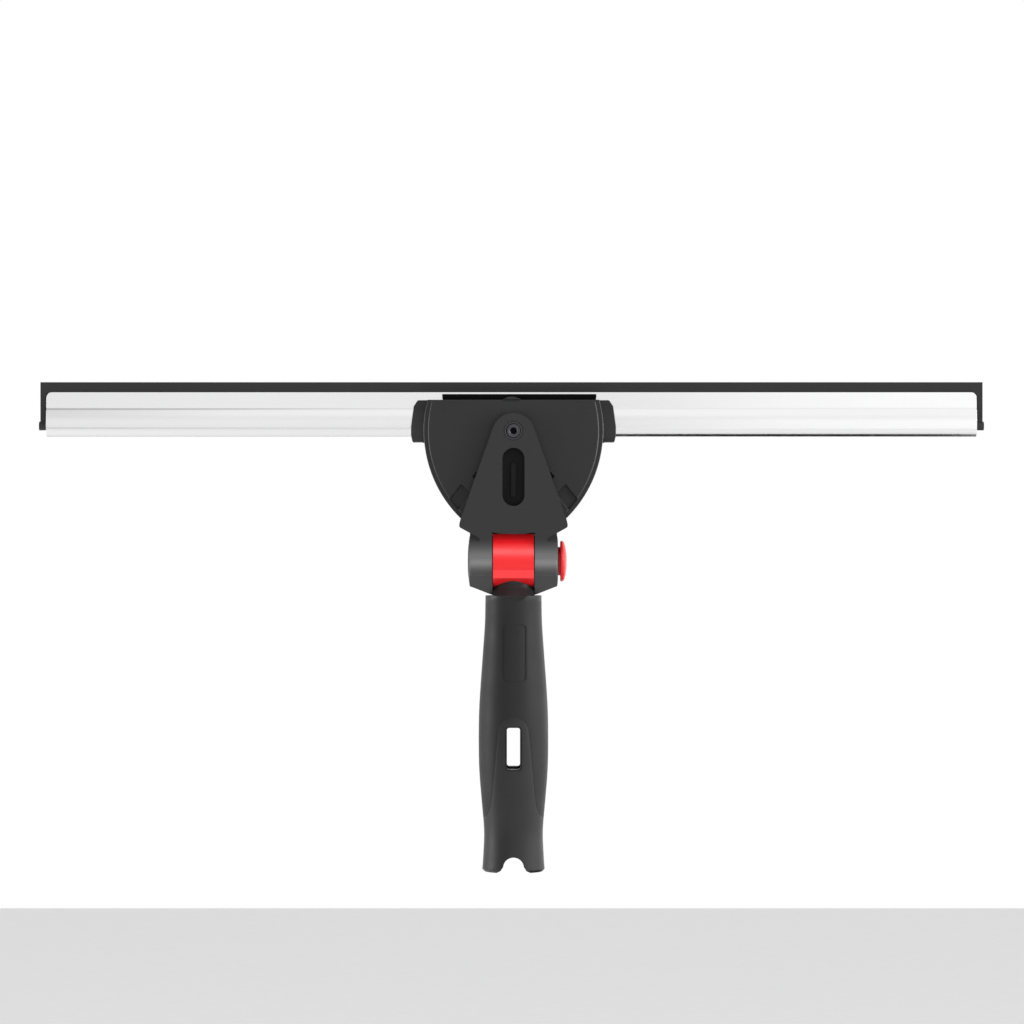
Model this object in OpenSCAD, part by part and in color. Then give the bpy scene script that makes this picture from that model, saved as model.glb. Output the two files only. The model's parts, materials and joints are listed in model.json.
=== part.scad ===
// Window cleaning squeegee with a tilting, swivelling head.
// The origin is the centre of the handle's open lower end. +Z runs up the handle to the blade,
// +X runs along the blade and the front faces -Y.

/* [Blade] */
// Length of the rubber blade
rubber_len = 450; // [350:1:550]
// Length of the steel channel
channel_len = 444; // [340:1:544]
// Height of the rubber's wiping edge
edge_z = 233.3; // [231:0.1:236]
// Height of the channel's lower edge
channel_z = 207.2; // [206.8:0.1:207.4]
// Height of the channel's lips
lip_z = 228.5; // [227:0.1:230]
// Depth of the blade's middle plane behind the tilt axis
blade_y = 3; // [3:0.1:3.2]
// Sideways place of the blade's middle in the head's clamp
blade_x = -0.95; // [-4:0.05:4]

/* [Head] */
// Height of the swivel axis
swivel_z = 209.9; // [209:0.1:211]
// Radius of the half disc's side arcs
disc_side_r = 58.2; // [57:0.1:59]
// Offset of those arcs' centres from the swivel axis
disc_side_x = 15.5; // [15:0.1:16]
// Height of the carrier's top edge above the swivel axis
carrier_top = 14.8; // [14:0.1:15]
// Angle between two detent positions of the head
detent_step = 13; // [11:0.5:13]
// Detent positions on each side of the middle
detent_count = 3; // [1:1:3]

/* [Tilt joint] */
// Height of the tilt axis
tilt_z = 147.9; // [147:0.1:149]
// Half the width of the red hub
hub_half = 9.7; // [9.65:0.05:9.9]
// Radius of the red hub
hub_r = 12.9; // [12.7:0.05:13]
// Radius of the fork's cheeks
cheek_r = 12.3; // [12:0.1:12.6]
// Outer end of the cheeks
cheek_x = 21.4; // [21:0.1:22]
// Travel of the tilt button
button_travel = 3; // [2.5:0.1:3]
// Teeth on the tilt lock
tilt_teeth = 24; // [20:4:28]

/* [Handle] */
// Height of the handle's shoulder
shoulder_z = 131.5; // [130.5:0.1:131.8]
// Radius of the pole socket
socket_r = 11; // [10.5:0.1:11.5]
// Depth of the pole socket
socket_depth = 72; // [70:1:76]
// Thickness of the soft grip
grip_t = 2; // [1.5:0.1:2.5]
// Width of the through slot
slot_w = 6.3; // [6:0.1:7]
// Height of the through slot
slot_h = 19.7; // [18:0.1:20]

/* [Hidden] */
$fn = 96;
e = 0.01; // overshoot of a cut past the face that it opens
run = 0.06; // radial clearance of a running fit
fit = 0.03; // and of a fixed one
gap = 0.3; // clearance between bodies that move past each other

// Depth planes, front to back
plate_front = -11.5; // front face of the fork's plate
plate_back = -7.3;
disc_front = -7;
disc_back = 1.5;
rear_front = disc_back + gap;
rear_back = 5.4;
wall_back = -1.6; // back of the carrier's front wall, where it faces the channel

// Handle outline: height and radius
shoulder_r = 13.4;
handle_points = [
    [0, 14.9], [10, 14.3], [20, 14.05], [34, 15.2], [48, 16.3],
    [63, 16.6], [80, 16.25], [100, 14.9], [118, 13.65], [shoulder_z, shoulder_r]
];
handle_steps = 4; // straight steps between two of those points
grip_bottom = 25.5;
grip_top = 131; // the grip ends in an arch, this high in the middle
grip_arch_r = 33.6;
mouth_r = socket_r + 0.4; // lead-in at the socket's mouth
mouth_depth = 9;
edge_round = 1.2;
slot_z = 59.2;
slot_rim = 0.8; // width and depth of the step round the slot
label_at = [0.5, 104.5]; // blank label field: middle, size, corner and depth
label_size = [11, 27];
label_corner = 2;
label_depth = 0.35;
neck_x = 9.6; // the neck is an ellipse
neck_y = 8.6;
core_barrel_r = 10.9;
ring_r = 9.6;

// Tilt lock
ring_x0 = -0.2;
barrel_x0 = 3.2;
barrel_x1 = 12.8;
washer_t = 0.4;
cheek_in = hub_half + washer_t + 0.05;
cheek_block = 20.7; // outer face of the cheek's parts that aren't round
cheek_spline_x = 13.4;
tooth_tip = 8.4;
tooth_root = 7.5;
tooth_play = 0.15;
stem_r = 6.85;
button_r = 9.7;
button_x = 22.3;
axle_r = 3;
button_recess_x = 18.2;

// Swivel
trim_r = 48.6; // lower end of the half disc, about the swivel axis
clear_r = 49.1; // room that the fork leaves for it
plate_top_r = 10.3;
plate_top_z = 208;
plate_slope = 19.5;
detent_r = 39.8;
groove_r = 27.7;
window_w = 10.5;
window_h = 27.7;
window_z = 188;
pad_front = -8.3;
pad_travel = 1.7;
shoulder_bolt_r = 3;
rear_screw_x = 16.5;
rear_screw_z = 160;
rear_screw_r = 1.25;

// Clamp
pin_y = 10.2;
pin_z = 207.2;
pin_r = 1.25;
ear_x = 48.8;
ear_in = 42.4;
jaw_half = 42;

// ---- Helpers ----
function mix(a, b, t) = a + (b - a) * t;
function bend(p0, p1, p2, p3, t) =
    0.5 * (2 * p1 + (p2 - p0) * t + (2 * p0 - 5 * p1 + 4 * p2 - p3) * t * t
        + (3 * p1 - p0 - 3 * p2 + p3) * t * t * t);
function smooth(pts, steps) = [
    for (i = [0 : len(pts) - 2], k = [0 : steps - 1])
        bend(pts[max(i - 1, 0)], pts[i], pts[i + 1], pts[min(i + 2, len(pts) - 1)], k / steps),
    pts[len(pts) - 1]
];
function mirrored(pts) = concat(pts, [for (i = [len(pts) - 1 : -1 : 0]) [-pts[i][0], pts[i][1]]]);

// A (y, z) outline extruded along X
module along_x(x0, x1) {
    translate([x0, 0, 0]) rotate([90, 0, 90]) linear_extrude(x1 - x0) children();
}
// An (x, z) outline extruded along Y
module along_y(y0, y1) {
    translate([0, y1, 0]) rotate([90, 0, 0]) linear_extrude(y1 - y0) children();
}
module x_cylinder(x0, x1, r, z = tilt_z, y = 0) {
    translate([x0, y, z]) rotate([0, 90, 0]) cylinder(r = r, h = x1 - x0);
}
module y_cylinder(y0, y1, r, x = 0, z = swivel_z) {
    translate([x, y1, z]) rotate([90, 0, 0]) cylinder(r = r, h = y1 - y0);
}
module both_sides() {
    children();
    mirror([1, 0, 0]) children();
}
module pill(w, h) {
    square([w, h - w], center = true);
    for (s = [-1, 1]) translate([0, s * (h - w) / 2]) circle(d = w);
}
module round_rect(w, h, r) {
    square([w - 2 * r, h], center = true);
    square([w, h - 2 * r], center = true);
    for (sx = [-1, 1], sy = [-1, 1]) translate([sx * (w / 2 - r), sy * (h / 2 - r)]) circle(r);
}
// A closed ring of teeth; extra grows the outline for the mating part
module teeth(extra = 0) {
    pitch = 360 / tilt_teeth;
    tip = tooth_tip + extra;
    root = tooth_root + extra;
    spread = extra * 5; // degrees of side play
    polygon([
        for (i = [0 : tilt_teeth - 1], c = [[root, -4.2], [tip, -2.4], [tip, 2.4], [root, 4.2]])
            let (a = i * pitch + c[1] + sign(c[1]) * spread) c[0] * [cos(a), sin(a)]
    ]);
}
// A coil spring along X from x0 to x1
module coil(x0, x1, turns, r, wire) {
    sides = 8;
    rings = 16 * turns;
    pts = [
        for (i = [0 : rings], k = [0 : sides - 1])
            let (t = i / rings, a = 360 * turns * t, b = 360 * k / sides, rr = r + wire * cos(b))
                [mix(x0 + wire, x1 - wire, t) + wire * sin(b), rr * cos(a), rr * sin(a)]
    ];
    walls = [
        for (i = [0 : rings - 1], k = [0 : sides - 1])
            let (n = (k + 1) % sides)
                [i * sides + k, i * sides + n, (i + 1) * sides + n, (i + 1) * sides + k]
    ];
    ends = [[for (k = [sides - 1 : -1 : 0]) k], [for (k = [0 : sides - 1]) rings * sides + k]];
    polyhedron(pts, concat(walls, ends));
}

// ---- Handle ----
module handle_form(inset = 0) {
    curve = smooth(handle_points, handle_steps);
    mouth_edge = curve[0][1] - inset;
    intersection() {
        rotate_extrude() polygon(concat(
            [[0, 0], [mouth_edge - edge_round, 0], [mouth_edge, edge_round]],
            [for (p = curve) if (p[0] > 2) [p[1] - inset, p[0]]],
            [[0, shoulder_z]]
        ));
        along_x(-20, 20) foot_section();
    }
}
// Where the hard core shows: the whole lower end and an arch round the slot
module core_window() {
    along_y(-20, 20) {
        polygon(mirrored([
            [0, -1], [20, -1], [20, grip_bottom], [14.6, grip_bottom], [12.2, 27.4], [10.8, 31],
            [10.1, 36], [9.2, 46], [7.9, 60], [7.2, 66.6], [0, 66.6]
        ]));
        translate([0, 66.6]) circle(7.2);
    }
}
module slot_cut(extra = 0) {
    along_y(-20, 20) translate([0, slot_z])
        round_rect(slot_w + 2 * extra, slot_h + 2 * extra, 1.2 + extra);
}
module mouth_notch() {
    along_y(-20, 20) {
        translate([0, 2.6]) circle(4.9);
        polygon(mirrored([[0, -2], [9.2, -2], [8, 0], [6.2, 1], [4.9, 3], [0, 3]]));
    }
}
module neck_section(extra = 0) {
    polygon([for (a = [0 : 6 : 354]) [(neck_x + extra) * cos(a), (neck_y + extra) * sin(a)]]);
}
// The neck spreads to the handle's full depth at its foot: half an outline of that, in (y, z)
foot_z = shoulder_z - 4;
foot_rise = 9.8;
foot_spread = 1.2; // width of the spreading part against its depth
foot_half = hub_half; // the thrust washers pass beside it
foot_curve = [
    for (k = [0 : 10]) let (t = k / 10)
        [mix(shoulder_r, neck_y, t * t * (3 - 2 * t)), foot_z + foot_rise * t]
];
module foot_section() {
    polygon(mirrored(concat([[0, -2], [20, -2], [20, foot_z]], foot_curve, [[0, foot_z + foot_rise]])));
}
module neck_foot() {
    difference() {
        intersection() {
            scale([foot_spread, 1, 1]) rotate_extrude()
                polygon(concat([[0, foot_z]], foot_curve, [[0, foot_z + foot_rise]]));
            translate([-foot_half, -20, shoulder_z - 0.4]) cube([2 * foot_half, 40, foot_rise]);
        }
        x_cylinder(-cheek_in, cheek_in, hub_r + 0.1);
    }
}
// What lies under the grip's arched upper edge
module below_arch() {
    along_y(-20, 20) {
        translate([-20, 0]) square([40, grip_top - grip_arch_r]);
        translate([0, grip_top - grip_arch_r]) circle(grip_arch_r, $fn = 240);
    }
}
module handle_core() color([0.30, 0.30, 0.31]) {
    difference() {
        union() {
            difference() {
                handle_form(grip_t);
                translate([0, 0, -1]) cylinder(r = 20, h = grip_bottom + 1 - e);
            }
            intersection() {
                handle_form();
                core_window();
            }
            difference() {
                handle_form();
                below_arch();
            }
            neck_foot();
            translate([0, 0, shoulder_z - 1]) linear_extrude(tilt_z - shoulder_z) neck_section();
            x_cylinder(-hub_half, hub_half, core_barrel_r);
        }
        translate([0, 0, -1]) cylinder(r = socket_r, h = socket_depth + 1);
        translate([0, 0, -1]) cylinder(r = mouth_r, h = mouth_depth + 1);
        mouth_notch();
        slot_cut();
        difference() {
            slot_cut(slot_rim);
            handle_form(slot_rim);
        }
        x_cylinder(ring_x0, hub_half + e, ring_r + fit);
        x_cylinder(-5, ring_x0 + e, tooth_root - 0.6);
        x_cylinder(-hub_half - e, hub_half, axle_r + run);
    }
}
module soft_grip() color([0.17, 0.17, 0.18]) {
    difference() {
        intersection() {
            handle_form();
            below_arch();
        }
        handle_form(grip_t);
        translate([0, 0, -1]) cylinder(r = 20, h = grip_bottom + 1);
        core_window();
        difference() {
            along_y(-20, 0) translate(label_at) round_rect(label_size.x, label_size.y, label_corner);
            handle_form(label_depth);
        }
    }
}
module tilt_hub() color([0.86, 0.10, 0.12]) {
    crease = [12.1, 144.3];
    lip_y = 12.95;
    difference() {
        along_x(-hub_half, hub_half) {
            translate([0, tilt_z]) circle(hub_r);
            polygon(mirrored([[0, 139.9], [lip_y, 139.9], crease, [0, crease[1]]]));
        }
        x_cylinder(-hub_half - e, hub_half + e, core_barrel_r + fit);
        translate([0, 0, shoulder_z - 1]) linear_extrude(tilt_z - shoulder_z) neck_section(0.3);
    }
}
module spline_ring() color([0.55, 0.56, 0.58]) {
    along_x(ring_x0, hub_half) translate([0, tilt_z]) difference() {
        circle(ring_r);
        teeth(tooth_play);
    }
}

// ---- Fork ----
// The V-shaped plate, as it is seen from the front
module plate_outline() {
    s = plate_slope;
    side = function (z) plate_top_r / cos(s) + (plate_top_z - z) * tan(s);
    translate([0, plate_top_z]) circle(plate_top_r);
    polygon(mirrored([
        [0, 155], [16.1, 155], [16.1, 158.8], [25, 163.7], [25.5, 164.1], [25.75, 164.7], [25.7, 165.6],
        [side(167.5), 167.5], [plate_top_r * cos(s), plate_top_z + plate_top_r * sin(s)], [0, plate_top_z]
    ]));
}
module pad_outline(extra = 0) {
    translate([0, window_z]) pill(window_w + 3.1 + 2 * extra, window_h + 3.1 + 2 * extra);
    translate([0, 173]) square([8 + 2 * extra, 16 + 2 * extra], center = true);
}
module cheek() {
    translate([0, 0, tilt_z]) rotate([0, 90, 0]) rotate_extrude() polygon([
        [0, cheek_in], [cheek_r, cheek_in], [cheek_r, cheek_x - 1], [cheek_r - 0.4, cheek_x - 0.5],
        [cheek_r - 3, cheek_x - 0.1], [0, cheek_x]
    ]);
    // tongue below and block above, both tangent to the round part
    intersection() {
        along_x(cheek_in, cheek_block) tongue_section();
        along_y(-12, 12) polygon([[cheek_in - 1, 150], [25, 150], [25, 137.7], [cheek_in - 1, 131.4]]);
    }
    along_x(cheek_in, cheek_block) polygon([
        [-12.25, 149], [plate_front, 157.2], [plate_front + 0.9, 158.3], [plate_back + e, 162],
        [rear_front, 162], [rear_front, 149]
    ]);
}
module tongue_section() {
    intersection() {
        polygon(mirrored([[0, 131], [4.2, 131], [10.4, 141.3], [10.4, 146], [0, 146]]));
        translate([0, tilt_z]) circle(tilt_z - shoulder_z - 0.2);
    }
}
module fork() color([0.19, 0.19, 0.20]) {
    difference() {
        union() {
            difference() {
                along_y(plate_front, plate_back) plate_outline();
                along_y(plate_front - e, plate_back + e) polygon(mirrored([
                    [0, 150], [cheek_in, 150], [cheek_in, 161.6], [5, 161], [0, 160.8]
                ]));
            }
            both_sides() cheek();
        }
        // room for the half disc
        y_cylinder(plate_back, rear_front, clear_r);
        // seat of the rear plate's tabs
        both_sides() translate([cheek_in - e, rear_front, 157]) cube([12, 20, 12]);
        // tilt lock and axle
        x_cylinder(-cheek_x - e, -cheek_in + e, axle_r + fit);
        x_cylinder(-cheek_x - e, -18.4, 8.5);
        along_x(cheek_in - e, cheek_spline_x) translate([0, tilt_z]) teeth(tooth_play);
        x_cylinder(cheek_in, cheek_x + e, stem_r + 0.1);
        x_cylinder(button_recess_x, cheek_x + e, button_r + 0.6);
        // swivel bolt
        y_cylinder(plate_front - e, -8.9, 4.6);
        y_cylinder(-9, plate_back + e, 3.9);
        // detent window
        along_y(plate_front - e, plate_back + e) translate([0, window_z]) pill(window_w, window_h);
        along_y(pad_front - pad_travel - 0.1, plate_back + e) pad_outline(0.2);
        both_sides() y_cylinder(-5, rear_front + e, rear_screw_r + fit, rear_screw_x, rear_screw_z);
    }
}
module rear_plate() color([0.19, 0.19, 0.20]) {
    roof = 39; // the blade sweeps down to this angle
    difference() {
        union() {
            intersection() {
                along_y(rear_front, rear_back) plate_outline();
                along_y(rear_front, rear_back) polygon(mirrored([
                    [0, 158], [15, 158], [15, 161.9], [30, 161.9],
                    [30, swivel_z - 9 - 30 * tan(roof)], [0, swivel_z - 9]
                ]));
            }
            both_sides() translate([cheek_in + 0.3, rear_front, 157.5])
                cube([9.6, rear_back - rear_front, 7.5]);
        }
        x_cylinder(-cheek_in, cheek_in, hub_r + gap);
        both_sides() y_cylinder(rear_front - e, rear_back + e, 1.6, rear_screw_x, rear_screw_z);
        along_y(rear_back - 1.2, rear_back + e) translate([0, 182]) round_rect(14, 22, 4);
    }
}
module rear_screws() color([0.62, 0.63, 0.65]) {
    head_t = 2;
    both_sides() difference() {
        union() {
            y_cylinder(-4.8, rear_back, rear_screw_r, rear_screw_x, rear_screw_z);
            y_cylinder(rear_back, rear_back + head_t, 2.75, rear_screw_x, rear_screw_z);
        }
        translate([rear_screw_x, rear_back + head_t + e, rear_screw_z]) rotate([90, 0, 0])
            cylinder(d = 2.9, h = 1.2, $fn = 6);
    }
}
module tilt_axle() color([0.70, 0.71, 0.72]) {
    difference() {
        x_cylinder(-19.4, barrel_x1 - button_travel - 0.1, axle_r);
        difference() {
            x_cylinder(-19, -18.5, axle_r + 1);
            x_cylinder(-19, -18.5, axle_r - 0.5);
        }
    }
}
module axle_clip() color([0.35, 0.36, 0.38]) {
    along_x(-18.95, -18.55) translate([0, tilt_z]) difference() {
        circle(5);
        circle(axle_r - 0.45);
        translate([-1.2, -6]) square([2.4, 6]);
    }
}
module cheek_cap() color([0.16, 0.16, 0.17]) {
    translate([0, 0, tilt_z]) rotate([0, -90, 0]) rotate_extrude() polygon([
        [0, 19.6], [6.5, 19.6], [6.5, 18.45], [8.4, 18.45], [8.4, 21.15], [7.8, 21.5], [4, 21.75],
        [0, 21.8]
    ]);
}
// Thin discs that close the gap between hub and cheeks
module thrust_washers() color([0.10, 0.10, 0.10]) {
    both_sides() along_x(hub_half + 0.03, cheek_in - 0.02) difference() {
        union() {
            translate([0, tilt_z]) circle(cheek_r - 0.2);
            tongue_section();
        }
        translate([0, tilt_z]) circle(tooth_tip + 0.6);
    }
}
module swivel_bush() color([0.72, 0.58, 0.30]) {
    difference() {
        y_cylinder(-8.9, -7.1, 3.9);
        y_cylinder(-9, -7, shoulder_bolt_r + run);
    }
}
// Two bowed strips of spring steel that push the pad back
module detent_leaf() color([0.66, 0.67, 0.68]) {
    bow_r = 60;
    both_sides() translate([5.45, 0, 0]) along_x(0, 1.1) intersection() {
        translate([bow_r - 10.1, window_z]) difference() {
            circle(bow_r);
            circle(bow_r - 0.3);
        }
        translate([-10.2, window_z - 10]) square([1.8, 20]);
    }
}

// ---- Detent pad ----
module detent_pad() color([0.13, 0.13, 0.14]) {
    along_y(pad_front, -7.5) pad_outline();
    along_y(pad_front - 1.3, pad_front + e) translate([0, window_z - 1.5]) pill(2.3, 16.4);
    along_y(-7.5 - e, -5.5) translate([0, swivel_z - detent_r]) square([5.9, 8.5], center = true);
    y_cylinder(-7.5 - e, -5.7, 1.15, 0, swivel_z - groove_r);
}

// ---- Tilt button ----
module tilt_button() color([0.86, 0.10, 0.12]) {
    rim = 1;
    dome_x = 25.4;
    translate([0, 0, tilt_z]) rotate([0, 90, 0]) rotate_extrude() polygon(concat(
        [[0, barrel_x1], [stem_r, barrel_x1], [stem_r, button_x], [button_r - 0.3, button_x],
         [button_r, button_x + 0.3], [button_r, button_x + rim]],
        [for (a = [15 : 15 : 90]) [button_r * cos(a), mix(button_x + rim, dome_x, sin(a))]]
    ));
}
module lock_barrel() color([0.60, 0.61, 0.63]) {
    along_x(barrel_x0, barrel_x1) translate([0, tilt_z]) difference() {
        teeth();
        circle(axle_r + run);
    }
}
module lock_spring() color([0.66, 0.67, 0.68]) {
    translate([0, 0, tilt_z]) coil(-4.9, barrel_x0 - 0.05, 5, 4.6, 0.5);
}

// ---- Carrier ----
module disc_outline(inset = 0) {
    r = disc_side_r - inset;
    translate([0, swivel_z]) intersection() {
        translate([-disc_side_x, 0]) circle(r, $fn = 180);
        translate([disc_side_x, 0]) circle(r, $fn = 180);
        circle(trim_r - inset, $fn = 180);
        translate([-60, -60]) square([120, 60 + carrier_top]);
    }
}
// Room for the channel above its ledge
module channel_room() {
    polygon([
        [wall_back, channel_z - 0.2], [wall_back, 216.5], [-0.1, 220.7], [0.5, 225], [0.5, 240],
        [30, 240], [30, channel_z - 0.2]
    ]);
}
// A groove of width w along an arc of radius r, with square ends
module arc_groove(r, w, reach) {
    difference() {
        circle(r + w / 2);
        circle(r - w / 2);
        polygon([[0, 0], 60 * [sin(reach), -cos(reach)], [60, 60], [-60, 60],
            60 * [-sin(reach), -cos(reach)]]);
    }
}
module ear_section() {
    polygon([
        [-2.2, 225], [-4.4, 219], [-5.2, 214], [-5.2, 210.4], [-4.2, 206.3], [-2.8, 204.7],
        [pin_y, 204.7], [pin_y, 207], [0.55, 225]
    ]);
    translate([pin_y, pin_z]) circle(2.6);
}
module ear_outline() {
    along_y(-10, 20) polygon([
        [37, 203], [47.8, 203], [48.1, 204.6], [ear_x, 207.7], [ear_x, 212], [47.5, 221.7],
        [45.6, 224.6], [37, 224.6]
    ]);
}
module carrier() color([0.18, 0.18, 0.19]) {
    reach = detent_step * detent_count;
    difference() {
        union() {
            along_y(disc_front + 0.8, disc_back) disc_outline();
            along_y(disc_front, disc_front + 0.8 + e) disc_outline(2.2);
            // ledge under the channel
            translate([-ear_in - 1, 0, 204.6]) cube([2 * ear_in + 2, 7.2, 4]);
            both_sides() difference() {
                intersection() {
                    along_x(38, ear_x) ear_section();
                    ear_outline();
                }
                translate([30, 0.6, 200]) cube([ear_in - 30, 20, 30]);
            }
            // small arched boss on the top edge
            intersection() {
                y_cylinder(disc_front + 0.9, disc_front + 2.6, 7.5, -0.9, 218.7);
                translate([-10, -10, 222]) cube([20, 10, 10]);
            }
        }
        along_x(-ear_x - 1, ear_x + 1) channel_room();
        // seat of the clamp pad
        translate([-34.2, -3.9, 221.8]) cube([73.9, 10, 10]);
        // detent pockets and end-stop groove
        along_y(disc_front - e, disc_front + 1.8) {
            intersection() {
                translate([0, swivel_z]) for (a = [-reach : detent_step : reach])
                    rotate(a) translate([-3.2, -60]) square([6.4, 60 - detent_r + 4.55]);
                disc_outline(2.2);
            }
            translate([0, swivel_z]) arc_groove(groove_r, 2.8, reach + 2.7);
        }
        // bevel along the top edge
        along_x(-ear_x - 1, ear_x + 1) translate([disc_front, swivel_z + carrier_top])
            polygon([[-1, -2.1], [1.2, 0.1], [-1, 0.1]]);
        y_cylinder(disc_front - e, -2.2, 3.2);
        both_sides() x_cylinder(ear_in - 1, 47.8, pin_r, pin_z, pin_y);
    }
}
module swivel_screw() color([0.20, 0.20, 0.21]) {
    difference() {
        union() {
            y_cylinder(-11, -9.4, 3.5);
            y_cylinder(-11.4, -11 + e, 3.1);
            y_cylinder(-9.4 - e, disc_front, shoulder_bolt_r);
            y_cylinder(disc_front - e, -2.4, 2);
        }
        translate([0, -10.1, swivel_z]) rotate([90, 0, 0]) cylinder(d = 3.46, h = 2, $fn = 6);
    }
}
module swivel_washer() color([0.66, 0.67, 0.68]) {
    difference() {
        y_cylinder(-9.4, -8.95, 4.3);
        y_cylinder(-9.5, -8.8, shoulder_bolt_r + 0.1);
    }
}
module swivel_insert() color([0.72, 0.58, 0.30]) {
    difference() {
        y_cylinder(disc_front, -2.2, 3.2);
        y_cylinder(disc_front - e, -2.1, 2);
    }
}
module clamp_pad() color([0.09, 0.09, 0.10]) {
    intersection() {
        along_x(-34, 39.5) polygon([[-3.8, 221.9], [0.3, 221.9], [0.45, 227.5], [-3.2, 227.5], [-3.8, 226]]);
        along_y(-5, 2) polygon([[-33.4, 221.9], [39, 221.9], [39.5, 227.5], [-34, 227.5]]);
    }
}

// ---- Blade ----
bulge = 4.3; // half thickness of the channel at its bulge
waist = 2.75; // and at the crease above it
lip = 1.95; // and at its lips
crease_z = 220.7;
sheet = 0.85; // thickness of the steel
bulge_z = channel_z + bulge;
function channel_half(z) =
    z > crease_z ? mix(waist - 0.1, lip, (z - crease_z) / (lip_z - crease_z))
    : mix(waist, bulge, pow(cos(90 * (z - bulge_z) / (crease_z - bulge_z)), 0.7));
module channel_side(t) {
    heights = concat([for (k = [0 : 12]) mix(bulge_z, crease_z, k / 12)], [crease_z + 0.15, lip_z]);
    polygon(mirrored([for (z = heights) [channel_half(z) - t, z]]));
    translate([0, bulge_z]) circle(bulge - t);
}
module channel() color([0.80, 0.81, 0.82]) {
    corner = 2.6;
    half = channel_len / 2;
    translate([blade_x, 0, 0]) difference() {
        along_x(-half, half) translate([blade_y, 0]) difference() {
            channel_side(0);
            channel_side(sheet);
            translate([-lip + sheet, lip_z - 5]) square([2 * (lip - sheet), 10]);
        }
        both_sides() difference() {
            translate([half - corner, -10, lip_z - corner]) cube([corner + 1, 30, corner + 1]);
            y_cylinder(-11, 21, corner, half - corner, lip_z - corner);
        }
    }
}
module rubber() color([0.14, 0.14, 0.14]) {
    half = rubber_len / 2;
    bulb_r = 2.1;
    bulb_z = 212.4;
    translate([blade_x, 0, 0]) {
        along_x(-half, half) translate([blade_y - 1, bulb_z]) square([2, edge_z - bulb_z]);
        x_cylinder(-half - 0.6, half + 0.6, bulb_r, bulb_z, blade_y);
    }
}
module end_clips() color([0.25, 0.25, 0.26]) {
    translate([blade_x, 0, 0]) both_sides() along_x(channel_len / 2 - 9, channel_len / 2 - 1)
        translate([blade_y - 1.5, 208.6]) square([3, 1.6]);
}

// ---- Rear jaw ----
module jaw() color([0.16, 0.16, 0.17]) {
    lever_half = 15;
    difference() {
        union() {
            along_x(-jaw_half, jaw_half) {
                polygon([
                    [8.8, 209], [8.8, 217], [7.4, 221.5], [7, 224], [8, 225.4], [9.6, 225],
                    [11.2, 221], [12.3, 212], [12.7, 207.5], [11, 205.2], [8.8, 206]
                ]);
                translate([pin_y, pin_z]) circle(2.5);
            }
            intersection() {
                along_x(-lever_half, lever_half) polygon([
                    [9.4, 206], [12.5, 206], [12.1, 198], [12.6, 186], [13.2, 180.5], [11.6, 179.5],
                    [9.5, 181], [9.3, 198]
                ]);
                along_y(0, 20) {
                    translate([0, 196.5]) square([2 * lever_half, 21], center = true);
                    translate([0, 195]) circle(lever_half);
                }
            }
        }
        x_cylinder(-jaw_half - e, jaw_half + e, pin_r + run, pin_z, pin_y);
        // pockets for the springs, and grip ribs on the lever
        both_sides() along_x(24, 32) translate([pin_y - 4, pin_z - 3.2]) square([8, 6.4]);
        for (z = [183.5 : 2.5 : 196]) x_cylinder(-9, 9, 0.55, z, 12.45);
    }
}
module jaw_grip() color([0.08, 0.08, 0.08]) {
    difference() {
        along_x(-jaw_half + 2, jaw_half - 2) polygon([
            [7.4, 210], [8.8, 210], [8.8, 217], [7.4, 221.5], [6.1, 221.3], [7.4, 216.5]
        ]);
        for (z = [211.5 : 1.5 : 216]) x_cylinder(-jaw_half, jaw_half, 0.3, z, 7.3);
    }
}
module jaw_pin() color([0.70, 0.71, 0.72]) {
    x_cylinder(-47.7, 47.7, pin_r, pin_z, pin_y);
}
module jaw_springs() color([0.66, 0.67, 0.68]) {
    both_sides() translate([0, pin_y, pin_z]) coil(24.4, 31.6, 6, 1.95, 0.35);
}

handle_core();
soft_grip();
tilt_hub();
spline_ring();
fork();
rear_plate();
rear_screws();
tilt_axle();
axle_clip();
cheek_cap();
thrust_washers();
swivel_bush();
detent_leaf();
detent_pad();
tilt_button();
lock_barrel();
lock_spring();
carrier();
swivel_screw();
swivel_washer();
swivel_insert();
clamp_pad();
channel();
rubber();
end_clips();
jaw();
jaw_grip();
jaw_pin();
jaw_springs();
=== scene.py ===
"""Looks for the window cleaning squeegee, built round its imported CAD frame.

Metres, the frame's own axes: +Z up the handle, +X along the blade, the front faces -Y.
"""

import json
from math import cos, hypot, pi, sin

import bmesh
import bpy
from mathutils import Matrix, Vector


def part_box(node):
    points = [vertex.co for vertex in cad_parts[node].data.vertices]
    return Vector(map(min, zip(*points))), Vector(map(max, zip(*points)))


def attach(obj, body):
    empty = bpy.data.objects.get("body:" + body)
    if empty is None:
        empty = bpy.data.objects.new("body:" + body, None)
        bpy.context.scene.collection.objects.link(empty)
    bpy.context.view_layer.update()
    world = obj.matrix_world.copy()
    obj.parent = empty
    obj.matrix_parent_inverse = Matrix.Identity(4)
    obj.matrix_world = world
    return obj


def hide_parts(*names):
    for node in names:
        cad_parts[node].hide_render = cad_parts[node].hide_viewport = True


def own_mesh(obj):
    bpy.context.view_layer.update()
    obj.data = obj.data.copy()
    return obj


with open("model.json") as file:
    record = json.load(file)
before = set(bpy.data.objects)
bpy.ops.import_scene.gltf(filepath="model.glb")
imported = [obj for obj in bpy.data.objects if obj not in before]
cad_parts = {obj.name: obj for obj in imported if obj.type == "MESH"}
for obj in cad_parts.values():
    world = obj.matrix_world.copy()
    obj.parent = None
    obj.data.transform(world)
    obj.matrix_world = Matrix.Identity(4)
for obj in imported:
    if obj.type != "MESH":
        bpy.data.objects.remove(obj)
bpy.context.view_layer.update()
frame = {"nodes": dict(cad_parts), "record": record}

MM = 0.001
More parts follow.
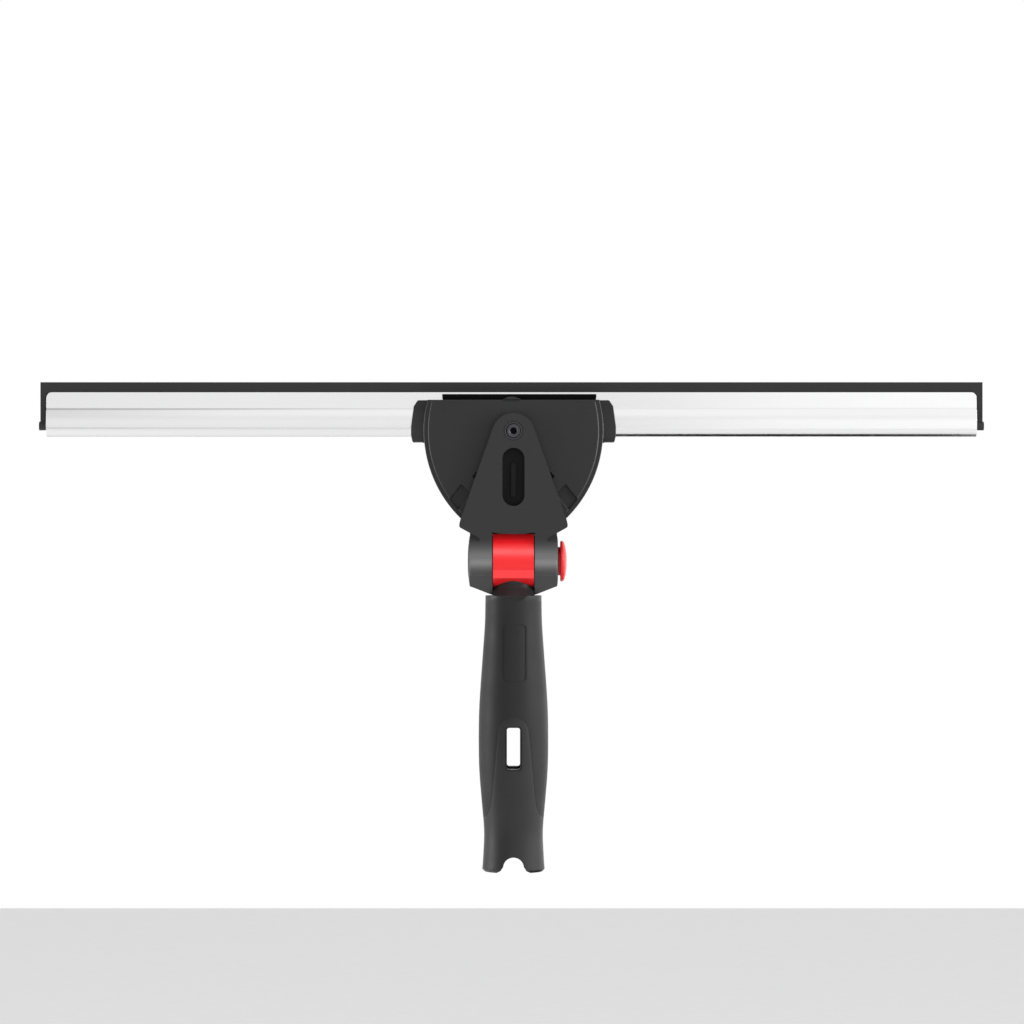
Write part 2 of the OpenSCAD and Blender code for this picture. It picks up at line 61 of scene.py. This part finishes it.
nodes = frame["nodes"]
collection = bpy.context.collection


# ---- Materials ----

class Shader:
    """A node material that is filled in step by step."""

    def __init__(self, name, base, roughness, metallic=0.0, specular=0.5):
        self.material = bpy.data.materials.new(name)
        self.material.use_nodes = True
        self.tree = self.material.node_tree
        self.bsdf = self.tree.nodes["Principled BSDF"]
        self.bsdf.inputs["Base Color"].default_value = (*base, 1)
        self.bsdf.inputs["Roughness"].default_value = roughness
        self.bsdf.inputs["Metallic"].default_value = metallic
        self.bsdf.inputs["Specular IOR Level"].default_value = specular
        self.coords = self.add("TexCoord").outputs["Object"]

    def add(self, kind, **values):
        node = self.tree.nodes.new("ShaderNode" + kind)
        for key, value in values.items():
            setattr(node, key, value)
        return node

    def link(self, source, target):
        self.tree.links.new(source, target)

    def noise(self, size, detail=2.0, stretch=(1, 1, 1)):
        """Noise with features of a given size in metres, stretched along the axes."""
        mapping = self.add("Mapping")
        mapping.inputs["Scale"].default_value = [1 / (size * s) for s in stretch]
        self.link(self.coords, mapping.inputs["Vector"])
        noise = self.add("TexNoise")
        noise.inputs["Scale"].default_value = 1
        noise.inputs["Detail"].default_value = detail
        self.link(mapping.outputs["Vector"], noise.inputs["Vector"])
        return noise.outputs["Fac"]

    def bump(self, height, depth):
        node = self.add("Bump")
        node.inputs["Distance"].default_value = depth
        node.inputs["Strength"].default_value = 1
        self.link(height, node.inputs["Height"])
        self.link(node.outputs["Normal"], self.bsdf.inputs["Normal"])

    def ramp(self, factor, stops):
        """Colours or grey values at places from 0 to 1."""
        node = self.add("ValToRGB")
        elements = node.color_ramp.elements
        while len(elements) < len(stops):
            elements.new(0.5)
        for element, (place, value) in zip(elements, stops):
            element.position = place
            colour = value if isinstance(value, tuple) else (value,) * 3
            element.color = (*colour, 1)
        self.link(factor, node.inputs["Fac"])
        return node.outputs["Color"]

    def vary(self, socket, factor, stops):
        """Lets one input of the shader follow a factor."""
        self.link(self.ramp(factor, stops), self.bsdf.inputs[socket])


plastic_grain = 0.25 * MM
plastic_depth = 0.012 * MM


def scaled(colour, factor):
    return tuple(c * factor for c in colour)


def moulded(name, base, roughness, grain=plastic_grain, depth=plastic_depth, specular=0.5, spread=0.12):
    """Injection-moulded plastic: an eroded grain, slow changes of shade and slightly polished areas."""
    shader = Shader(name, base, roughness, specular=specular)
    shade = shader.noise(14 * MM, 3)
    polish = shader.noise(9 * MM, 4)
    shader.vary("Base Color", shade, [(0.3, scaled(base, 1 - spread)), (0.7, scaled(base, 1 + spread))])
    shader.vary("Roughness", polish, [(0.3, roughness - 0.03), (0.7, roughness + 0.03)])
    shader.bump(shader.noise(grain), depth)
    return shader.material


def by_height(shader, low, high):
    """A value that goes smoothly from 0 at one height to 1 at another."""
    split = shader.add("SeparateXYZ")
    shader.link(shader.coords, split.inputs[0])
    span = shader.add("MapRange", interpolation_type="SMOOTHSTEP")
    span.inputs["From Min"].default_value = low
    span.inputs["From Max"].default_value = high
    shader.link(split.outputs["Z"], span.inputs["Value"])
    return span.outputs["Result"]


def fork_plastic(base, polish_and_highlight_z, matt_z):
    """The fork's mould is polished round the cheeks and matt on the plate; the cheeks also get a four times
    lighter base colour, which is a painted highlight.
    """
    shader = Shader("fork_plastic", base, 0.5)
    matt_versus_painted_highlight = by_height(shader, polish_and_highlight_z, matt_z)
    # painted highlight: the base colour is four times lighter on the cheeks than on the plate
    shader.vary("Base Color", matt_versus_painted_highlight, [(0, scaled(base, 4)), (1, base)])
    shader.vary("Roughness", matt_versus_painted_highlight, [(0, 0.5), (1, 0.95)])
    shader.bump(shader.noise(plastic_grain), plastic_depth)
    return shader.material


def brushed(name, base, roughness, metallic=1.0):
    """Drawn or rolled metal with fine lines along X."""
    spread = 0.06
    shader = Shader(name, base, roughness, metallic=metallic)
    lines = shader.noise(0.05 * MM, 3, (400, 1, 1))
    shade = shader.noise(30 * MM, 3, (4, 1, 1))
    shader.vary("Base Color", shade, [(0.3, scaled(base, 0.97)), (0.7, base)])
    shader.vary("Roughness", lines, [(0.3, roughness - spread), (0.7, roughness + spread)])
    shader.bump(lines, 0.0007 * MM)
    return shader.material


looks = {
    "core": moulded("core_plastic", (0.019, 0.019, 0.020), 0.42),
    "grip": moulded("soft_grip", (0.017, 0.017, 0.018), 0.48, grain=0.35 * MM, specular=0.4),
    "red": moulded("red_plastic", (0.92, 0.013, 0.018), 0.34, grain=0.5 * MM, depth=0.004 * MM, spread=0.03),
    "black_plastic": moulded("black_plastic", (0.008, 0.008, 0.0085), 0.5),
    # black rubber for the clamp pad, with its base darker than the black plastic as painted shade on that
    # strip
    "dark_pad": moulded("pad_rubber_painted_shade", (0.003, 0.003, 0.003), 0.7, specular=0.06),
    "blade_rubber": moulded(
        "blade_rubber", (0.036, 0.036, 0.036), 0.55, grain=0.5 * MM, specular=0.3, spread=0.05),
    "channel_steel": brushed("channel_steel", (0.95, 0.95, 0.955), 0.2),
    "spring_steel": brushed("spring_steel", (0.55, 0.55, 0.57), 0.3),
    "dark_screw": brushed("black_oxide", (0.10, 0.10, 0.105), 0.25, metallic=0.9),
    "zinc_steel": brushed("zinc_steel", (0.6, 0.6, 0.61), 0.35),
    "bronze": brushed("bronze", (0.62, 0.42, 0.20), 0.35),
}
for part in frame["record"]["subparts"]:
    obj = nodes[part["node"]]
    obj.data.materials.clear()
    obj.data.materials.append(looks[part["material_slot"]])

cheek_top_z, plate_foot_z = 0.150, 0.159
nodes["fork"].data.materials[0] = fork_plastic((0.003, 0.003, 0.0032), cheek_top_z, plate_foot_z)
# the detent pad's base is darker than the black plastic: painted shade for the recess it sits in
nodes["detent_pad"].data.materials[0] = moulded("pad_plastic_painted_shade", (0.002, 0.002, 0.002), 0.62, specular=0.25)


# ---- Rounded edges ----

edge_widths = {
    "carrier": 0.32, "rear_plate": 0.5, "jaw": 0.5, "detent_pad": 0.25, "handle_core": 0.3, "soft_grip": 0.2,
    "clamp_pad": 0.3, "channel": 0.15, "rubber": 0.15, "cheek_cap": 0.2, "thrust_washers": 0.05,
}
unclamped = ("carrier", "channel")  # their shortest edges would shrink the whole rounding

for name, width in edge_widths.items():
    # The frame's faces don't share points, so they are joined before they are rounded
    weld = nodes[name].modifiers.new("joined_faces", "WELD")
    weld.merge_threshold = 0.02 * MM
    bevel = nodes[name].modifiers.new("rounded_edges", "BEVEL")
    bevel.width = width * MM
    bevel.segments = 3
    bevel.limit_method = "ANGLE"
    bevel.angle_limit = 0.5
    bevel.use_clamp_overlap = name not in unclamped
    bevel.harden_normals = True


# ---- Swivel screw: a chamfered head with a deep hexagon socket ----

def revolved(name, rings, centre, steps=48):
    """A mesh turned about Y from (y, radius, share) rings in mm; share 1 makes the ring a hexagon."""
    bm = bmesh.new()
    loops = []
    for y, radius, share in rings:
        loop = []
        for k in range(steps):
            turn = 2 * pi * k / steps
            corner = cos(pi / 6) / cos((turn % (pi / 3)) - pi / 6)
            r = radius * (1 + share * (corner - 1)) * MM
            loop.append(bm.verts.new((centre[0] + r * cos(turn), y * MM, centre[1] + r * sin(turn))))
        loops.append(loop)
    for first, second in zip(loops, loops[1:]):
        for k in range(steps):
            n = (k + 1) % steps
            face = bm.faces.new((first[k], first[n], second[n], second[k]))
            face.smooth = True
    bm.faces.new(loops[0])
    bm.faces.new(loops[-1])
    bmesh.ops.recalc_face_normals(bm, faces=bm.faces)
    mesh = bpy.data.meshes.new(name)
    bm.to_mesh(mesh)
    bm.free()
    mesh.set_sharp_from_angle(angle=0.35)
    piece = bpy.data.objects.new(name, mesh)
    collection.objects.link(piece)
    return piece


screw_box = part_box("swivel_screw")
front, back = screw_box[0][1] / MM, screw_box[1][1] / MM
head_r = (screw_box[1][0] - screw_box[0][0]) / 2 / MM
screw_z = (screw_box[1][2] + screw_box[0][2]) / 2
thread_r = 2.0
shoulder_r, shoulder_end = 3.0, -4.7
head_height = 2.0
rim_r = 2.15  # where the face starts to dip to the socket
socket_r, socket_depth = 1.6, 1.9
screw = revolved("swivel_screw_head", [
    (back, thread_r, 0), (shoulder_end, thread_r, 0),
    (shoulder_end, shoulder_r, 0), (front + head_height, shoulder_r, 0),
    (front + head_height, head_r, 0), (front + 0.55, head_r, 0), (front + 0.1, head_r - 0.4, 0),
    (front, head_r - 0.7, 0), (front + 0.08, head_r - 0.95, 0), (front + 0.08, rim_r, 0),
    (front + 0.02, 2.0, 0), (front + 0.3, socket_r + 0.1, 0.4), (front + 0.4, socket_r, 1),
    (front + socket_depth, socket_r, 1), (front + socket_depth + 0.1, 0.9, 0),
], (0, screw_z))
screw.data.materials.append(looks["dark_screw"])
# near-black socket faces: painted shade inside the hexagon recess
screw.data.materials.append(moulded("socket_painted_shade", (0.004, 0.004, 0.004), 0.6, specular=0.1))
for face in screw.data.polygons:
    depth = face.center.y / MM - front
    distance = hypot(face.center.x, face.center.z - screw_z) / MM
    if 0.3 < depth < socket_depth + 0.2 and distance < socket_r + 0.15:
        face.material_index = 1
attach(screw, "head")
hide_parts("swivel_screw")


# ---- Springs copied onto the bodies that carry them ----

def squashed_spring(node, body):
    """A copy of a spring attached to a body, in place of the hidden original."""
    spring = bpy.data.objects.new(node + "_squashed", nodes[node].data.copy())
    collection.objects.link(spring)
    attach(spring, body)
    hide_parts(node)
    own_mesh(spring)


squashed_spring("lock_spring", "handle")
squashed_spring("detent_leaf", "fork")


# ---- Stage ----

def flat_piece(name, low, high, z, material):
    """A level rectangle between two (x, y) corners."""
    (x0, y0), (x1, y1) = low, high
    mesh = bpy.data.meshes.new(name)
    mesh.from_pydata([(x0, y0, z), (x1, y0, z), (x1, y1, z), (x0, y1, z)], [], [(0, 1, 2, 3)])
    piece = bpy.data.objects.new(name, mesh)
    piece.data.materials.append(material)
    collection.objects.link(piece)
    return piece


floor_z = -0.25
floor_half = 2.5
pale = moulded("pale_floor", (0.88, 0.88, 0.88), 0.7, grain=1.0 * MM, specular=0.1, spread=0.01)
flat_piece("floor", (-floor_half, -floor_half), (floor_half, floor_half), floor_z, pale)

# The channel's lower right edge mirrors a dark cloth that the camera doesn't see
cloth = moulded("black_cloth", (0.02, 0.02, 0.02), 0.9, specular=0.0)
flag = flat_piece("dark_flag", (0.045, -0.02), (0.4, 0.6), floor_z + 0.001, cloth)
flag.visible_camera = False

world = bpy.data.worlds.new("studio")
bpy.context.scene.world = world
world.use_nodes = True
tree = world.node_tree
tree.nodes.clear()


def studio_light():
    """Radiance of the room by direction: dim below and to the left, bright on the right, white behind."""
    coords = tree.nodes.new("ShaderNodeTexCoord")
    axes = tree.nodes.new("ShaderNodeSeparateXYZ")
    tree.links.new(coords.outputs["Generated"], axes.inputs[0])

    def along(axis, stops):
        """A curve of brightness over one component of the direction, from -1 to 1."""
        ramp = tree.nodes.new("ShaderNodeFloatCurve")
        curve = ramp.mapping.curves[0]
        ramp.mapping.use_clip = False
        for place, value in stops[1:-1]:
            curve.points.new(place / 2 + 0.5, value)
        curve.points[0].location = (0, stops[0][1])
        curve.points[-1].location = (1, stops[-1][1])
        ramp.mapping.update()
        shift = tree.nodes.new("ShaderNodeMath")
        shift.operation = "MULTIPLY_ADD"
        shift.inputs[1].default_value = 0.5
        shift.inputs[2].default_value = 0.5
        tree.links.new(axes.outputs[axis], shift.inputs[0])
        tree.links.new(shift.outputs[0], ramp.inputs["Value"])
        return ramp.outputs[0]

    def math(kind, first, second):
        node = tree.nodes.new("ShaderNodeMath")
        node.operation = kind
        tree.links.new(first, node.inputs[0])
        tree.links.new(second, node.inputs[1])
        return node.outputs[0]

    height = along("Z", [(-1, 0.1), (-0.5, 0.5), (-0.1, 0.64), (0.3, 0.74), (1, 0.65)])
    side = along("X", [(-1, -0.1), (-0.6, -0.3), (-0.1, -0.05), (0.5, 0.15), (0.8, 0.25), (1, 0.25)])
    behind = along("Y", [(-1, 0.0), (0.1, 0.0), (0.5, 0.35), (1, 0.5)])
    return math("ADD", math("ADD", height, side), behind)


# The camera sees plain white; every other ray sees the room
output = tree.nodes.new("ShaderNodeOutputWorld")
chooser = tree.nodes.new("ShaderNodeMixShader")
rays = tree.nodes.new("ShaderNodeLightPath")
backdrop = tree.nodes.new("ShaderNodeBackground")
backdrop.inputs["Color"].default_value = (1, 1, 1, 1)
room = tree.nodes.new("ShaderNodeBackground")
tree.links.new(studio_light(), room.inputs["Color"])
tree.links.new(rays.outputs["Is Camera Ray"], chooser.inputs["Fac"])
tree.links.new(room.outputs[0], chooser.inputs[1])
tree.links.new(backdrop.outputs[0], chooser.inputs[2])
tree.links.new(chooser.outputs[0], output.inputs["Surface"])


tool_centre = (0, 0, 0.18)


def softbox(name, place, size, brightness, target=tool_centre, only=(), blockers=None):
    """A rectangular lamp aimed at a point, for the whole tool or only some pieces."""
    data = bpy.data.lights.new(name, "AREA")
    data.shape = "RECTANGLE"
    data.size, data.size_y = size
    data.energy = brightness * pi * size[0] * size[1]
    lamp = bpy.data.objects.new(name, data)
    collection.objects.link(lamp)
    lamp.location = place
    lamp.rotation_euler = (Vector(target) - Vector(place)).to_track_quat("-Z", "Y").to_euler()
    lamp.visible_camera = False
    if only:
        lit = bpy.data.collections.new(name + "_lit")
        for piece in only:
            lit.objects.link(piece)
        lamp.light_linking.receiver_collection = lit
        lamp.light_linking.blocker_collection = blockers or tool


tool = bpy.data.collections.new("tool")
for piece in (*nodes.values(), screw):
    tool.objects.link(piece)
hub = bpy.data.collections.new("hub")
hub.objects.link(nodes["tilt_hub"])
steel = (nodes["channel"],)
black = (nodes["fork"], nodes["carrier"], nodes["detent_pad"], nodes["jaw"])
cheeks_at, hub_at = (0, 0, 0.147), (0, 0, 0.148)
channel_z = 0.215
low_z = floor_z + 0.01  # lamps below the floor would light nothing

softbox("key_right", (1.9, -1.0, 0.9), (0.6, 0.9), 5.5)
softbox("strip_right", (1.45, -0.1, 0.25), (0.8, 0.8), 0.9)
softbox("strip_left", (-1.45, 0.05, 0.25), (0.7, 0.8), 3)
softbox("cheek_card", (0, -1.6, 0.0), (0.9, 0.5), 25, cheeks_at, only=(nodes["fork"],))
softbox("hub_card", (0, -1.3, 1.24), (1.2, 0.8), 3.4, hub_at, only=(nodes["tilt_hub"],), blockers=hub)
softbox("edge_left", (-1.4, -0.3, 0.1), (0.7, 0.9), 9, only=black)
softbox("edge_right", (1.4, -0.3, 0.1), (0.7, 0.9), 14, only=black)
softbox("steel_left", (-0.8, -2.2, 0.25), (1.7, 1.4), 0.2, only=steel)
softbox("steel_right", (0.9, -2.2, 0.25), (1.5, 1.4), 0.35, (0.1, 0, channel_z), only=steel)
softbox("steel_above", (0.6, -1.2, 1.3), (1.9, 1.3), 0.25, (0.6, 0, channel_z), only=steel)
softbox("steel_low", (0, -0.6, low_z), (1.3, 0.55), 0.07, (0, -0.6, channel_z), only=steel)
softbox("steel_low_left", (-0.28, -0.05, low_z), (0.6, 0.5), 0.07, (-0.28, -0.05, channel_z), only=steel)


# ---- Camera ----

focal = 150
sensor = 36
view_width = 0.4886  # of the picture, at the tool
view_x, view_z = -0.0007, 0.1713
camera_data = bpy.data.cameras.new("camera")
camera_data.lens = focal
camera_data.sensor_width = sensor
camera = bpy.data.objects.new("camera", camera_data)
collection.objects.link(camera)
camera.location = (view_x, -view_width * focal / sensor, view_z)
camera.rotation_euler = (pi / 2, 0, 0)
bpy.context.scene.camera = camera
bpy.context.scene.view_settings.view_transform = "Standard"
